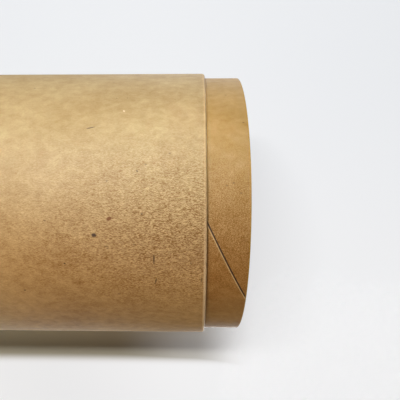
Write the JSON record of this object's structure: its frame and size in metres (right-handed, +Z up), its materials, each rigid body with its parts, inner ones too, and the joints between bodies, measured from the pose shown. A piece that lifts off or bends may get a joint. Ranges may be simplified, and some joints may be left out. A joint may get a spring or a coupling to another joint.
{
  "type": "windowed kraft paper can",
  "caption": "Open round paper can of kraft board: a body tube over a spiral-wound liner whose top stands out as a neck for a lid, a base disc, and a clear window in the back.",
  "frame": {"origin": "centre of the base, on the surface the can stands on", "axes": "+Z up along the can's axis, out of the mouth; +Y out through the window"},
  "size_m": [0.0878, 0.0878, 0.15],
  "materials": {
    "kraft_body": "rough natural kraft paper with grain, flecks and fibres",
    "kraft_liner": "smooth calendered kraft paper, warmer and darker than the body",
    "kraft_board": "plain uncoated paper board",
    "clear_film": "clear glossy film"
  },
  "bodies": {
    "root": {"body_tube": "kraft_body", "liner_tube": "kraft_liner", "base_disc": "kraft_board", "window_film": "clear_film"}
  },
  "joints": []
}
